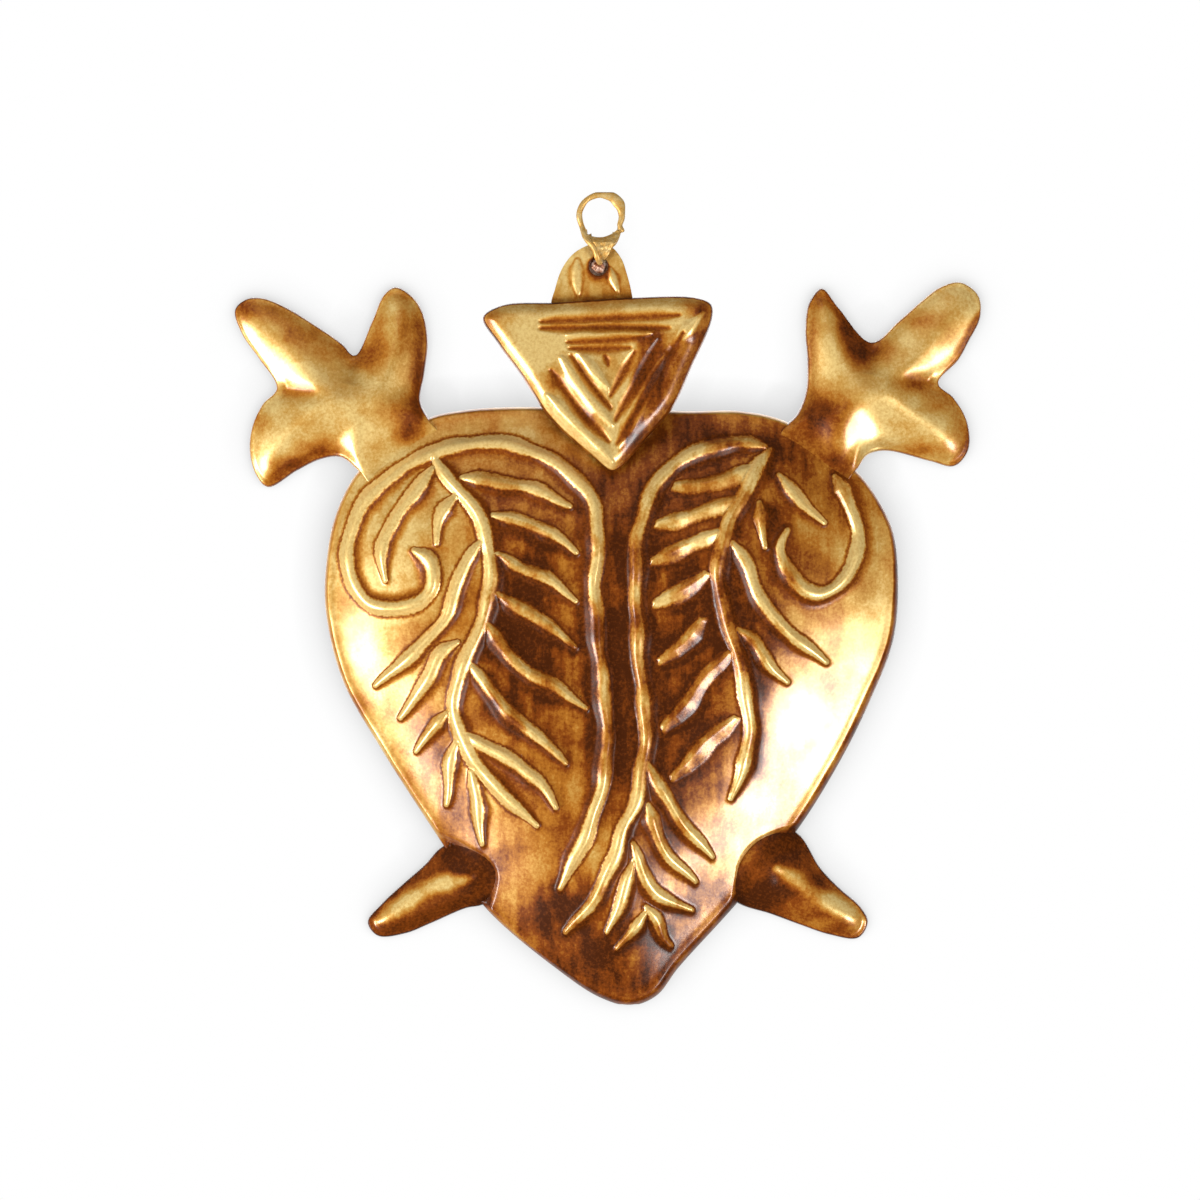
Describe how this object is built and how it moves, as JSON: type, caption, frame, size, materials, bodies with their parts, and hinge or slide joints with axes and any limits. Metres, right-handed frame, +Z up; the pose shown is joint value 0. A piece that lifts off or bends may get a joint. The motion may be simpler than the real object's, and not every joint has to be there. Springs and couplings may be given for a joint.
{
  "type": "sacred heart milagro",
  "caption": "Pressed-tin sacred heart ornament with arrow tails and points, leaf-spray relief, a nested-triangle plaque and a wire ring to hang it by.",
  "frame": {"origin": "where a hook or nail bears inside the top of the wire ring", "axes": "+X to the viewer's right, +Z up along the hanging ornament, and -Y out of the front, so +Y points at the wall"},
  "size_m": [0.1493, 0.0136, 0.162],
  "materials": {
    "heart_gold": "antiqued gold paint over brown on pressed tin",
    "arrow_gold": "antiqued gold paint over brown on pressed tin",
    "arrow_brown": "brown paint with gold rubbed on the crest",
    "plaque_gold": "antiqued gold paint over brown on pressed tin",
    "tab_gold": "antiqued gold paint over brown on pressed tin",
    "ring_wire": "pale gold paint on wire",
    "solder": "dull grey soft solder"
  },
  "bodies": {
    "ring": {"hanging_ring": "ring_wire", "ring_solder": "solder"},
    "ornament": {"heart_shell": "heart_gold", "left_fletching": "arrow_gold", "right_fletching": "arrow_gold", "left_point": "arrow_brown", "right_point": "arrow_brown", "triangle_plaque": "plaque_gold", "hanger_tab": "tab_gold", "solder_left_fletching": "solder", "solder_right_fletching": "solder", "solder_left_point": "solder", "solder_right_point": "solder", "solder_plaque": "solder", "solder_tab": "solder"}
  },
  "joints": [
    {"name": "ring_link", "type": "hinge", "parent": "ring", "child": "ornament", "pos_m": [0, 0, -0.0126], "axis": [1, 0, 0], "range_deg": [-20, 20]}
  ]
}
